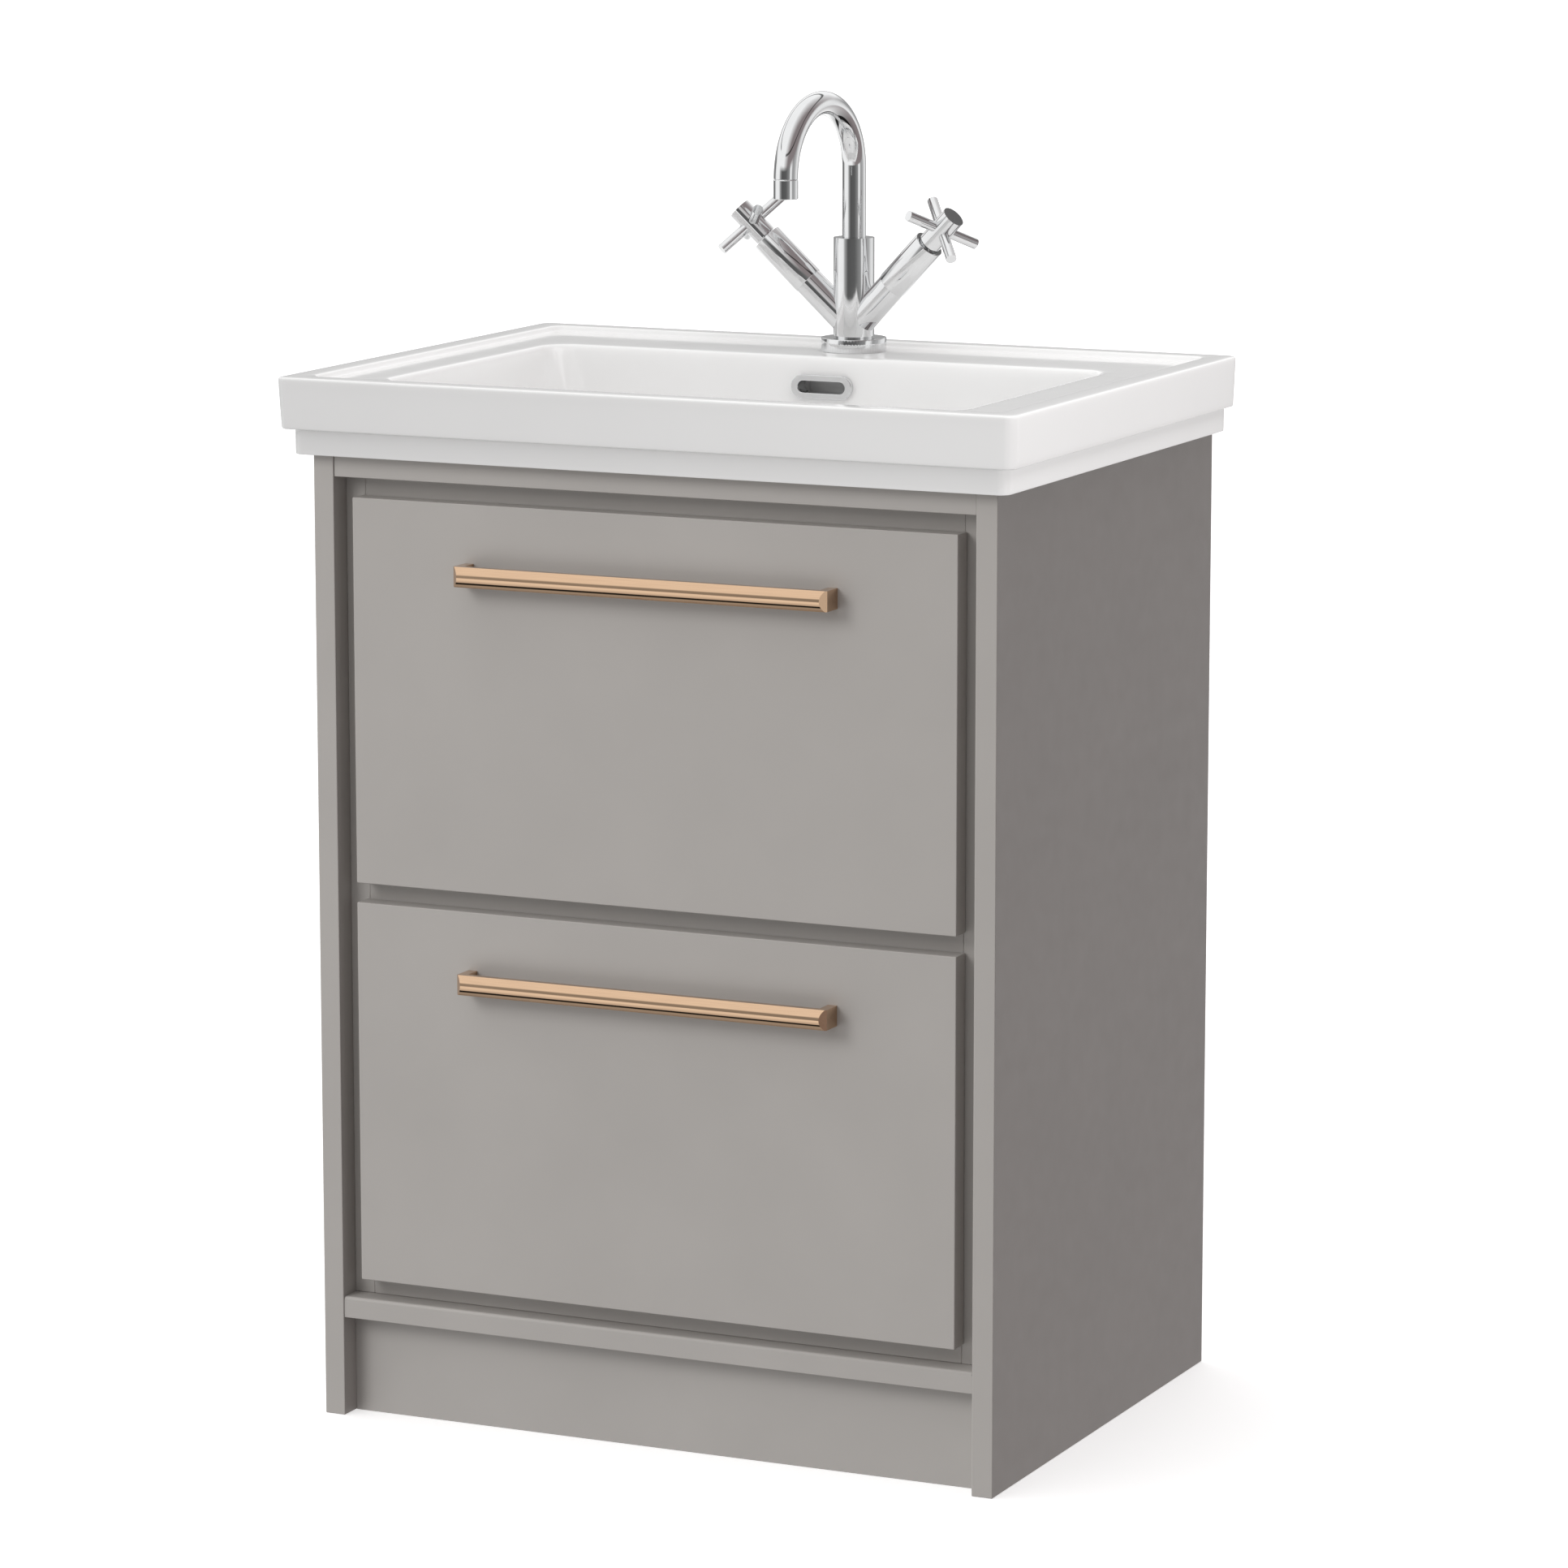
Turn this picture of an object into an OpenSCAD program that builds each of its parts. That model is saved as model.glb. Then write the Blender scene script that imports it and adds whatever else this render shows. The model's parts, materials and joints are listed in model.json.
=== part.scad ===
// Bathroom vanity cabinet: two-drawer floor cabinet, ceramic basin and twin-lever mixer tap.
// Millimetres. +Z is up, the drawers face -Y, +X is the viewer's right.
// The origin is on the floor, in the middle of the object's outer box.

/* [Cabinet] */
// Width over the two end panels
cabinet_w = 600; // [560:10:800]
// Depth from the end panels' front edges to the wall
cabinet_d = 456; // [446:2:560]
// Height from the floor to the underside of the basin
cabinet_h = 800; // [740:10:960]
// Thickness of every board of the carcass and of the drawer fronts
board_t = 18; // [15:1:22]
// Height of the plinth opening under the bottom board
plinth_h = 83; // [60:1:120]
// How far the plinth stands back from the end panels' front edges
plinth_setback = 20; // [10:1:60]
// Shadow gap all round each drawer front
front_gap = 16; // [4:1:20]
// How far the drawer fronts stand back from the end panels' front edges
front_recess = 2; // [0.5:0.5:6]
// How far the top rail and the bottom board stand back
rail_recess = 1; // [0.5:0.5:6]
// Rounding of the bottom board's upper front edge
board_edge_r = 2.5; // [1:0.5:5]
// Depth of the flat rail over the upper drawer
top_rail_d = 36; // [20:1:37]
// Height of the two upright rails behind the upper shadow gaps
inner_rail_h = 60; // [40:1:80]
// Height of the low rail behind the lowest shadow gap
stop_rail_h = 30; // [20:1:34]
// Height of the rail that is screwed to the wall
wall_rail_h = 100; // [60:5:140]
// Diameter of the wall fixing holes
wall_hole_d = 8; // [5:0.5:10]
// Distance between the two wall fixing holes
wall_hole_spacing = 400; // [200:10:460]
// Thickness of the back panel behind the lower drawer
back_panel_t = 6; // [3:1:10]
// Height of the back panel
back_panel_h = 380; // [200:10:420]

/* [Drawers] */
// Thickness of the drawer box boards
box_board_t = 15; // [12:1:18]
// Thickness of the drawer bases
box_base_t = 10; // [6:1:12]
// Height of a base's underside above the bottom edge of its drawer sides
box_base_lift = 8; // [4:1:14]
// Depth of the drawer boxes behind their fronts
box_d = 380; // [300:5:385]
// Height of the upper drawer box
upper_box_h = 150; // [100:5:155]
// Height of the lower drawer box
lower_box_h = 200; // [120:5:220]
// Height of the drawer boxes above the rail below them
box_rail_gap = 14; // [8:1:20]
// Width of the notch that clears the waste pipe in the upper drawer
pipe_gap_w = 150; // [100:5:200]
// Distance from the upper drawer's back edge to the front of the notch
pipe_gap_d = 290; // [200:5:300]

/* [Runners] */
// Space for a runner between the carcass and a drawer side
runner_space = 12.7; // [12:0.1:14]
// Height of a runner's cabinet member
runner_h = 45; // [35:1:46]
// Length of a runner's cabinet member
runner_l = 400; // [300:5:405]
// Thickness of the runner's rolled steel
runner_t = 1.2; // [0.8:0.1:1.5]
// Gap between the runner members, taken up by the balls
runner_gap = 1; // [0.6:0.1:1.5]

/* [Handles] */
// Distance between the two handle screws
handle_centres = 320; // [128:32:448]
// Width of a handle leg
handle_leg_w = 8; // [7:1:14]
// Height of the handle bar
handle_h = 16.5; // [10:0.5:20]
// How far the handle stands out from the drawer front
handle_reach = 24.5; // [20:0.5:24.5]
// Thickness of the bar from its front to its back
handle_bar_t = 9; // [6:0.5:12]
// Bevel of the bar's two front corners
handle_bevel = 5; // [2:0.5:7]
// Radius of the bar's rounded front
handle_front_r = 11; // [9:0.5:30]
// Distance from a drawer front's top edge to the middle of its handle
handle_drop = 56; // [30:1:120]
// Diameter of the handle screws
handle_screw_d = 4; // [3:0.5:5]
// Clearance of a handle screw in the drawer front, on the diameter
handle_screw_play = 0.5; // [0.2:0.1:1]

/* [Basin] */
// How far the basin overhangs the cabinet at each side
basin_side_over = 23; // [12:1:40]
// How far the basin overhangs the end panels' front edges
basin_front_over = 23; // [12:1:40]
// Height of the basin above the cabinet
basin_h = 63; // [50:1:120]
// Height of the basin's stepped foot
basin_foot_h = 21; // [10:1:30]
// How far the foot stands in from the rim
basin_foot_in = 10; // [4:1:14]
// How much the upper band widens towards the rim, at each side
basin_draft = 2; // [0:0.5:4]
// Corner radius of the basin in plan
basin_corner_r = 10; // [4:1:20]
// Width of the flat rim
rim_w = 23; // [15:1:30]
// Depth of the deck below the rim
rim_drop = 4.5; // [2:0.5:8]
// Thickness of the ceramic in the deck and in the bowl
ceramic_t = 12; // [8:1:16]
// Width between the basin's side and the bowl's edge
bowl_side_margin = 70; // [50:1:100]
// Depth between the basin's front and the bowl's edge
bowl_front_margin = 53; // [50:1:80]
// Depth of the tap ledge between the bowl's edge and the wall
bowl_back_margin = 119; // [100:1:140]
// Depth of the bowl below the deck
bowl_depth = 113.5; // [90:0.5:130]
// Depth of the bowl's steep upper wall
bowl_wall_depth = 75; // [50:1:80]
// How far the steep wall runs in at the sides and the back
bowl_wall_in = 12; // [8:1:30]
// How far the steep wall runs in at the front
bowl_front_in = 30; // [24:1:50]
// How far the floor stands in from the foot of the steep wall
bowl_floor_in = 50; // [30:1:80]
// Corner radius of the bowl at the deck
bowl_corner_r = 22; // [10:1:60]
// Depth of the overflow slot's middle below the deck
overflow_drop = 24.5; // [20:0.5:40]
// Length of the overflow ring
overflow_l = 55; // [40:1:70]
// Height of the overflow ring
overflow_h = 20; // [16:1:24]
// Width of the overflow ring's face all round its slot
overflow_face = 5; // [3:0.5:6]
// How far the overflow ring stands out of the bowl's wall
overflow_proud = 3; // [2:0.5:5]

/* [Waste] */
// Outside diameter of the waste's threaded tail
waste_tail_d = 41.9; // [38:0.1:45]
// Bore of the waste
waste_bore_d = 35; // [30:0.5:36]
// Length of the tail below its nut
waste_tail_l = 31; // [20:1:34]
// Diameter of the waste's flange in the bowl
waste_flange_d = 62; // [58:1:70]
// Thickness of the waste's flange
waste_flange_t = 2.5; // [2:0.5:4]
// Diameter of the plug's cap
plug_d = 58; // [45:1:60]
// Thickness of the plug's cap
plug_t = 5; // [3:0.5:8]
// Travel of the plug from open to shut
plug_travel = 6; // [4:0.5:10]
// Diameter of the plug's stem
plug_stem_d = 10; // [8:0.5:12]
// Radial clearance of the plug's stem in its guide
plug_play = 0.05; // [0.02:0.01:0.1]

/* [Tap] */
// Distance from the wall to the tap's axis
tap_setback = 61; // [50:1:80]
// Diameter of the tap hole in the basin
tap_hole_d = 35; // [34:0.5:36]
// Height of the tap above the deck
tap_h = 221.5; // [180:0.5:300]
// Diameter of the base flange
tap_flange_d = 55; // [48:0.5:60]
// Height of the base flange
tap_flange_h = 11.4; // [6:0.1:16]
// Height of the narrow neck above the flange
tap_neck_h = 1.5; // [1:0.5:3]
// Diameter of the shank through the basin
tap_shank_d = 32; // [30:0.5:33]
// Diameter of the column
tap_column_d = 34.4; // [30:0.2:40]
// Height of the column's top above the deck
tap_column_h = 95.5; // [80:0.5:120]
// Diameter of the spout tube
spout_d = 20; // [16:0.5:24]
// Wall of the spout tube
spout_wall = 1.5; // [1:0.1:3]
// Distance from the tap's axis to the outlet's axis
spout_reach = 136; // [100:1:170]
// Depth of the spout in the column
spout_socket = 34; // [20:1:38]
// Radial clearance of the spout in the column
spout_play = 0.05; // [0.02:0.01:0.1]
// Length of the outlet sleeve
aerator_l = 6; // [4:0.5:12]

/* [Tap handles] */
// Height above the deck where the arm axes meet
arm_rise = 18.5; // [16:0.5:24]
// Tilt of each arm from upright, to its side
arm_tilt = 44.4; // [35:0.1:50]
// Lean of the arms towards the user
arm_lean = 9.8; // [0:0.1:15]
// Diameter of an arm
arm_d = 25; // [22:0.5:28]
// Length of an arm to its joint line
arm_l = 55.5; // [50:0.5:70]
// Diameter of the valve sleeve
sleeve_d = 26; // [23:0.5:30]
// Length of the valve sleeve
sleeve_l = 51; // [45:0.5:60]
// Diameter of the valve cartridge
cartridge_d = 18; // [16:0.5:20]
// Diameter of the valve spindle
spindle_d = 7.9; // [6:0.1:9]
// Radial clearance of the spindle in the cartridge
spindle_play = 0.05; // [0.02:0.01:0.1]
// Gap between the sleeve and the crosshead
crosshead_gap = 1.5; // [1:0.1:3]
// Diameter of the crosshead's hub
hub_d = 19.5; // [16:0.5:24]
// Length of the crosshead's hub
hub_l = 32.5; // [26:0.5:40]
// Diameter of a crosshead bar
bar_d = 9; // [7:0.5:11]
// Length of a crosshead bar from tip to tip
bar_l = 72; // [50:1:80]
// Turn of the bars about the arm's axis
bar_turn = 45; // [0:5:90]

/* [Hidden] */
$fn = 64;
// Overcut that lets a hole or a cut run past the face it opens
cut = 1;

paint = "#a5a19c";
melamine = "#d8d5cf";
steel = "#b9bcc0";
copper = "#c79a74";
china = "#f2f2f0";
chrome = "#d7dade";
brass = "#c2a45a";
rubber = "#2b2b2b";

// Cabinet planes
front_y = (basin_front_over - cabinet_d) / 2;
back_y = front_y + cabinet_d;
outer_x = cabinet_w / 2;
opening_x = outer_x - board_t;
carcass_x = opening_x - board_t;
frame_clearance = 1;
fronts_y = front_y + front_recess;
fronts_back_y = fronts_y + board_t;
carcass_y = fronts_back_y + frame_clearance;
bottom_z = plinth_h;
floor_z = bottom_z + board_t;
top_z = cabinet_h - board_t;
panel_back_y = back_y - back_panel_t;
wall_rail_y = back_y - board_t;
wall_hole_z = cabinet_h - wall_rail_h / 2;

// Drawer fronts and boxes
front_w = 2 * (opening_x - front_gap);
front_h = (top_z - floor_z - 3 * front_gap) / 2;
lower_front_z = floor_z + front_gap;
upper_front_z = lower_front_z + front_h + front_gap;
mid_gap_z = upper_front_z - front_gap / 2;
box_x = carcass_x - runner_space;
box_in_x = box_x - box_board_t;
box_back_y = fronts_back_y + box_d;
box_back_in_y = box_back_y - box_board_t;
lower_box_z = floor_z + stop_rail_h + box_rail_gap;
upper_box_z = mid_gap_z + inner_rail_h / 2 + box_rail_gap;
notch_x = pipe_gap_w / 2;
guard_t = box_board_t - 3;
guard_x = notch_x + guard_t;
notch_y = box_back_y - pipe_gap_d;

// Runners: distances from the carcass side, and half heights
runner_lip = 3;
outer_depth = runner_space - 2.2;
middle_web = 3;
middle_depth = 9;
middle_half = runner_h / 2 - runner_t - runner_lip - runner_gap;
drawer_depth = 5.4;
drawer_half = middle_half - runner_t - 4.3;
runner_y = carcass_y + 4;
upper_runner_z = upper_box_z + upper_box_h / 2;
lower_runner_z = lower_box_z + lower_box_h / 2;

// Handles
handle_w = handle_centres + handle_leg_w;
handle_front_y = fronts_y - handle_reach;
upper_handle_z = upper_front_z + front_h - handle_drop;
lower_handle_z = lower_front_z + front_h - handle_drop;
screw_head_d = 2 * handle_screw_d;
screw_head_t = 2.5;
screw_bite = 9;

// Basin
rim_z = cabinet_h + basin_h;
deck_z = rim_z - rim_drop;
foot_z = cabinet_h + basin_foot_h;
basin_x = outer_x + basin_side_over;
basin_y = front_y - basin_front_over;
deck_under_z = deck_z - ceramic_t;
bowl_x = basin_x - bowl_side_margin;
bowl_front_y = basin_y + bowl_front_margin;
bowl_back_y = back_y - bowl_back_margin;
bowl_wall_z = deck_z - bowl_wall_depth;
bowl_floor_z = deck_z - bowl_depth;
bowl_wall = ceramic_t - 3;
bowl_wall_slope = bowl_wall_in / bowl_wall_depth;
void_gap = 2;
void_x = opening_x - void_gap;
void_front_y = front_y + rail_recess + top_rail_d + void_gap;
void_back_y = wall_rail_y - void_gap;
thin = 0.01;

// Overflow and its duct, which runs behind and under the bowl to the waste
overflow_z = deck_z - overflow_drop;
overflow_seat_y = bowl_back_y - bowl_wall_slope * (overflow_drop - overflow_h / 2);
overflow_slot_l = overflow_l - 12;
overflow_slot_h = overflow_h - 2 * overflow_face;
overflow_tube_t = 1.5;
duct_wall = 8;
duct_d = 12;
duct_x = overflow_slot_l / 2 + overflow_tube_t;
duct_y = bowl_back_y + bowl_wall - 1;
duct_top_z = overflow_z + overflow_h / 2;
channel_x = 10;
channel_h = 12;

// Waste
waste_y = (bowl_front_y + bowl_back_y) / 2 + 6;
boss_h = 40;
boss_d = waste_flange_d + 8;
waste_hole_d = waste_tail_d + 3;
boss_z = bowl_floor_z - boss_h;
channel_z = boss_z + 11;
gasket_t = 4;
waste_nut_h = 10;
waste_nut_z = boss_z - gasket_t - waste_nut_h;
waste_tail_z = waste_nut_z - waste_tail_l;
waste_groove_h = 3;
waste_groove_d = waste_tail_d - 1.5;
waste_flange_z = bowl_floor_z + waste_flange_t;
plug_seat_gap = 0.5;
plug_z = waste_flange_z + plug_seat_gap + plug_travel;
guide_z = waste_nut_z + 3;
guide_h = 18;
guide_d = plug_stem_d + 8;
plug_tail = 4;

// Tap
tap_y = back_y - tap_setback;
flange_top_z = deck_z + tap_flange_h;
column_z = flange_top_z + tap_neck_h;
column_top_z = deck_z + tap_column_h;
shank_z = deck_z - ceramic_t + 3;
tap_gasket_t = 1.5;
socket_z = column_top_z - spout_socket;
waterway_d = 8;
hose_d = 9;
hose_x = 8;
hose_y = tap_y - 3;
hose_depth = 26;
stud_d = 8;
stud_y = tap_y + 9;
stud_bite = 12;
stud_hang = 30;
clamp_d = 54;
clamp_t = 4;
clamp_slot = 29;
tap_nut_h = 7.5;
tap_nut_d = 15;
bend_r = spout_reach / 2;
bend_z = deck_z + tap_h - spout_d / 2 - bend_r;
outlet_y = tap_y - spout_reach;
aerator_z = bend_z - aerator_l;

// Tap handles, as distances along the arm's axis
arm_z = deck_z + arm_rise;
cartridge_from = arm_l - 25;
cartridge_to = arm_l + sleeve_l - 7;
sleeve_wall = 2;
sleeve_cap = 2.5;
sleeve_to = arm_l + sleeve_l;
neck_d = 15;
neck_play = 0.5;
hub_from = sleeve_to + crosshead_gap;
neck_from = cartridge_to + 2;
bar_at = hub_from + hub_l / 2;
spindle_from = arm_l + 8;
spindle_to = bar_at + 4;
spindle_hole_d = spindle_d + 2 * spindle_play;

// ---- Shared shapes ----

// A board between two corners
module board(from, to) {
    translate(from) cube(to - from);
}

// Draws its children on the right (side 1) or mirrored to the left (side -1)
module on_side(side) {
    mirror([side < 0 ? 1 : 0, 0, 0]) children();
}

// The four corner posts of a round-cornered layer, which a hull closes
module layer(x, y0, y1, z, r, h = thin) {
    for (px = [r - x, x - r], py = [y0 + r, y1 - r])
        translate([px, py, z]) cylinder(r = r, h = h, $fn = 32);
}

// A stadium in the x-z plane, run along y
module stadium(l, h, y0, y1) {
    translate([0, y1, 0]) rotate([90, 0, 0]) linear_extrude(y1 - y0) {
        square([l - h, h], center = true);
        for (x = [-1, 1]) translate([x * (l - h) / 2, 0]) circle(h / 2);
    }
}

// Places its children on an arm, with +Z along the arm's axis
module on_arm(side) {
    translate([0, tap_y, arm_z]) rotate([arm_lean, 0, 0]) rotate([0, side * arm_tilt, 0])
        children();
}

// A cylinder between two distances along z
module rod(d, from, to) {
    translate([0, 0, from]) cylinder(d = d, h = to - from);
}

// ---- Cabinet ----

module side_panel(side) {
    color(paint) on_side(side) board([opening_x, front_y, 0], [outer_x, back_y, cabinet_h]);
}

module carcass_side(side) {
    color(paint) on_side(side)
        board([carcass_x, carcass_y, floor_z], [opening_x, panel_back_y, top_z]);
}

module top_front_rail() {
    y = front_y + rail_recess;
    color(paint) board([-opening_x, y, top_z], [opening_x, y + top_rail_d, cabinet_h]);
}

// An upright rail between the carcass sides, just behind the drawer fronts
module frame_rail(z, h) {
    color(paint) board([-carcass_x, carcass_y, z], [carcass_x, carcass_y + board_t, z + h]);
}

module inner_top_rail() {
    frame_rail(top_z - inner_rail_h, inner_rail_h);
}

module mid_rail() {
    frame_rail(mid_gap_z - inner_rail_h / 2, inner_rail_h);
}

module stop_rail() {
    frame_rail(floor_z, stop_rail_h);
}

module bottom_board() {
    y = front_y + rail_recess;
    r = min(board_edge_r, board_t / 2);
    color(paint) translate([-opening_x, 0, bottom_z]) rotate([90, 0, 90])
        linear_extrude(2 * opening_x) {
            translate([y, 0]) square([panel_back_y - y, board_t - r]);
            translate([y + r, 0]) square([panel_back_y - y - r, board_t]);
            translate([y + r, board_t - r]) circle(r);
        }
}

module plinth() {
    y = front_y + plinth_setback;
    color(paint) board([-opening_x, y, 0], [opening_x, y + board_t, bottom_z]);
}

module wall_rail() {
    color(melamine) difference() {
        board([-carcass_x, wall_rail_y, cabinet_h - wall_rail_h], [carcass_x, back_y, cabinet_h]);
        for (x = [-1, 1])
            translate([x * wall_hole_spacing / 2, back_y + cut, wall_hole_z]) rotate([90, 0, 0])
                cylinder(d = wall_hole_d, h = board_t + 2 * cut);
    }
}

module back_panel() {
    color(melamine)
        board([-opening_x, panel_back_y, bottom_z], [opening_x, back_y, bottom_z + back_panel_h]);
}

// ---- Drawers ----

// A drawer front with its two screw holes
module drawer_front(z, handle_z) {
    color(paint) difference() {
        board([-front_w / 2, fronts_y, z], [front_w / 2, fronts_back_y, z + front_h]);
        for (x = [-1, 1])
            translate([x * handle_centres / 2, fronts_back_y + cut, handle_z]) rotate([90, 0, 0])
                cylinder(d = handle_screw_d + handle_screw_play, h = board_t + 2 * cut);
    }
}

module drawer_side(side, z, h) {
    color(melamine) on_side(side)
        board([box_in_x, fronts_back_y, z], [box_x, box_back_y, z + h]);
}

module lower_back() {
    color(melamine) board([-box_in_x, box_back_in_y, lower_box_z],
        [box_in_x, box_back_y, lower_box_z + lower_box_h]);
}

module upper_back(side) {
    color(melamine) on_side(side) board([guard_x, box_back_in_y, upper_box_z],
        [box_in_x, box_back_y, upper_box_z + upper_box_h]);
}

module drawer_base(z) {
    board([-box_in_x, fronts_back_y, z + box_base_lift],
        [box_in_x, box_back_in_y, z + box_base_lift + box_base_t]);
}

module upper_base() {
    color(melamine) difference() {
        drawer_base(upper_box_z);
        board([-guard_x, notch_y - guard_t, upper_box_z],
            [guard_x, box_back_y, upper_box_z + upper_box_h]);
    }
}

module lower_base() {
    color(melamine) drawer_base(lower_box_z);
}

// Three boards round the notch that clears the waste pipe
module upper_pipe_guard() {
    top = upper_box_z + upper_box_h;
    color(melamine) difference() {
        board([-guard_x, notch_y - guard_t, upper_box_z], [guard_x, box_back_y, top]);
        board([-notch_x, notch_y, upper_box_z - cut], [notch_x, box_back_y + cut, top + cut]);
    }
}

// Staple-shaped bar handle: rounded front, bevelled corners, a tapped hole in each leg
module handle(z) {
    color(copper) difference() {
        intersection() {
            translate([0, fronts_y, z - handle_h / 2]) linear_extrude(handle_h)
                polygon([
                    [-handle_w / 2, 0], [-handle_w / 2, handle_bevel - handle_reach],
                    [handle_bevel - handle_w / 2, -handle_reach],
                    [handle_w / 2 - handle_bevel, -handle_reach],
                    [handle_w / 2, handle_bevel - handle_reach], [handle_w / 2, 0],
                    [handle_w / 2 - handle_leg_w, 0],
                    [handle_w / 2 - handle_leg_w, handle_bar_t - handle_reach],
                    [handle_leg_w - handle_w / 2, handle_bar_t - handle_reach],
                    [handle_leg_w - handle_w / 2, 0]
                ]);
            translate([-handle_w / 2, handle_front_y, z]) rotate([90, 0, 90])
                linear_extrude(handle_w) {
                    intersection() {
                        translate([handle_front_r, 0]) circle(handle_front_r);
                        translate([0, -handle_h / 2]) square([handle_front_r, handle_h]);
                    }
                    translate([handle_front_r, -handle_h / 2])
                        square([handle_reach - handle_front_r, handle_h]);
                }
        }
        for (x = [-1, 1])
            translate([x * handle_centres / 2, fronts_y + cut, z]) rotate([90, 0, 0])
                cylinder(d = handle_screw_d, h = screw_bite + cut);
    }
}

module handle_screws(z) {
    color(steel) for (x = [-1, 1])
        translate([x * handle_centres / 2, fronts_back_y, z]) {
            rotate([90, 0, 0]) cylinder(d = handle_screw_d, h = board_t + screw_bite - cut);
            rotate([-90, 0, 0]) cylinder(d = screw_head_d, h = screw_head_t);
        }
}

// ---- Runners ----

// Runs a runner's section along y; x is measured inwards from the right carcass side
module run_section(y0, y1, z) {
    translate([carcass_x, y1, z]) mirror([1, 0, 0]) rotate([90, 0, 0])
        linear_extrude(y1 - y0) children();
}

// A channel section: a web at one distance and two flanges that reach to another
module channel(web_from, web_to, flange_to, half) {
    low = min(web_from, flange_to);
    high = max(web_to, flange_to);
    translate([web_from, -half]) square([web_to - web_from, 2 * half]);
    for (v = [-half, half - runner_t])
        translate([low, v]) square([high - low, runner_t]);
}

// The member screwed to the carcass, with lips that hold the middle member
module cabinet_runner(side, z) {
    half = runner_h / 2;
    color(steel) on_side(side) run_section(runner_y, runner_y + runner_l, z) {
        channel(0, runner_t, outer_depth, half);
        for (v = [-half + runner_t, half - runner_t - runner_lip])
            translate([outer_depth - runner_t, v]) square([runner_t, runner_lip]);
    }
}

module middle_runners(z) {
    color(steel) for (side = [-1, 1])
        on_side(side) run_section(runner_y + 6, runner_y + runner_l - 6, z)
            channel(middle_web, middle_web + runner_t, middle_depth, middle_half);
}

// The member screwed to the drawer side
module drawer_runner(side, z) {
    color(steel) on_side(side) run_section(runner_y, box_back_y, z)
        channel(runner_space - runner_t, runner_space, drawer_depth, drawer_half);
}

// ---- Basin ----

// The bowl as a solid, grown outwards by one amount
module bowl(grow, top) {
    hull() {
        layer(bowl_x + grow, bowl_front_y - grow, bowl_back_y + grow, top,
            bowl_corner_r + grow);
        layer(bowl_x - bowl_wall_in + grow, bowl_front_y + bowl_front_in - grow,
            bowl_back_y - bowl_wall_in + grow, bowl_wall_z, 2 * bowl_corner_r);
        layer(bowl_x - bowl_wall_in - bowl_floor_in + grow,
            bowl_front_y + bowl_front_in + bowl_floor_in / 2 - grow,
            bowl_back_y - bowl_wall_in - bowl_floor_in / 2 + grow,
            bowl_floor_z - grow, 3 * bowl_corner_r);
    }
}

// The stepped outside: a straight foot under a slightly flared band
module basin_block() {
    foot_x = basin_x - basin_foot_in;
    foot_y = basin_y + basin_foot_in;
    hull() layer(foot_x, foot_y, back_y, cabinet_h, basin_corner_r - 0.5, basin_foot_h);
    hull() {
        layer(basin_x - basin_draft, basin_y + basin_draft, back_y, foot_z,
            basin_corner_r - basin_draft / 2);
        layer(basin_x, basin_y, back_y, rim_z - thin, basin_corner_r);
    }
}

// Solid that holds the overflow duct and the boss that the waste clamps to
module waste_boss() {
    translate([0, waste_y, 0]) rod(boss_d, boss_z, bowl_floor_z);
    board([-duct_x - duct_wall, duct_y - duct_wall, channel_z - duct_wall],
        [duct_x + duct_wall, duct_y + duct_d + duct_wall, deck_z - ceramic_t / 2]);
    board([-channel_x - duct_wall, waste_y, channel_z - duct_wall],
        [channel_x + duct_wall, duct_y + duct_d + duct_wall, channel_z + channel_h + duct_wall]);
}

module duct() {
    board([-duct_x, duct_y, channel_z], [duct_x, duct_y + duct_d, duct_top_z]);
    board([-channel_x, waste_y, channel_z], [channel_x, duct_y + cut, channel_z + channel_h]);
}

module basin() {
    color(china) difference() {
        union() {
            difference() {
                basin_block();
                board([-void_x, void_front_y, cabinet_h - cut],
                    [void_x, void_back_y, deck_under_z]);
            }
            bowl(bowl_wall, deck_z - ceramic_t / 2);
            waste_boss();
        }
        hull() layer(basin_x - rim_w, basin_y + rim_w, back_y - rim_w, deck_z, basin_corner_r,
            rim_drop + cut);
        bowl(0, deck_z + cut);
        duct();
        translate([0, waste_y, 0]) rod(waste_hole_d, boss_z - cut, bowl_floor_z + cut);
        translate([0, tap_y, 0]) rod(tap_hole_d, deck_under_z - cut, deck_z + cut);
        translate([0, 0, overflow_z]) {
            stadium(overflow_l, overflow_h, bowl_back_y - 2 * bowl_wall_in, overflow_seat_y);
            stadium(overflow_slot_l + 2 * overflow_tube_t, overflow_slot_h + 2 * overflow_tube_t,
                overflow_seat_y - cut, duct_y + cut);
        }
    }
}

module overflow_ring() {
    face_y = overflow_seat_y - overflow_proud - bowl_wall_slope * overflow_h;
    color(chrome) translate([0, 0, overflow_z]) difference() {
        union() {
            stadium(overflow_l, overflow_h, face_y, overflow_seat_y);
            stadium(overflow_slot_l + 2 * overflow_tube_t, overflow_slot_h + 2 * overflow_tube_t,
                overflow_seat_y - thin, duct_y);
        }
        stadium(overflow_slot_l, overflow_slot_h, face_y - cut, duct_y + cut);
    }
}

// ---- Waste ----

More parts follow.
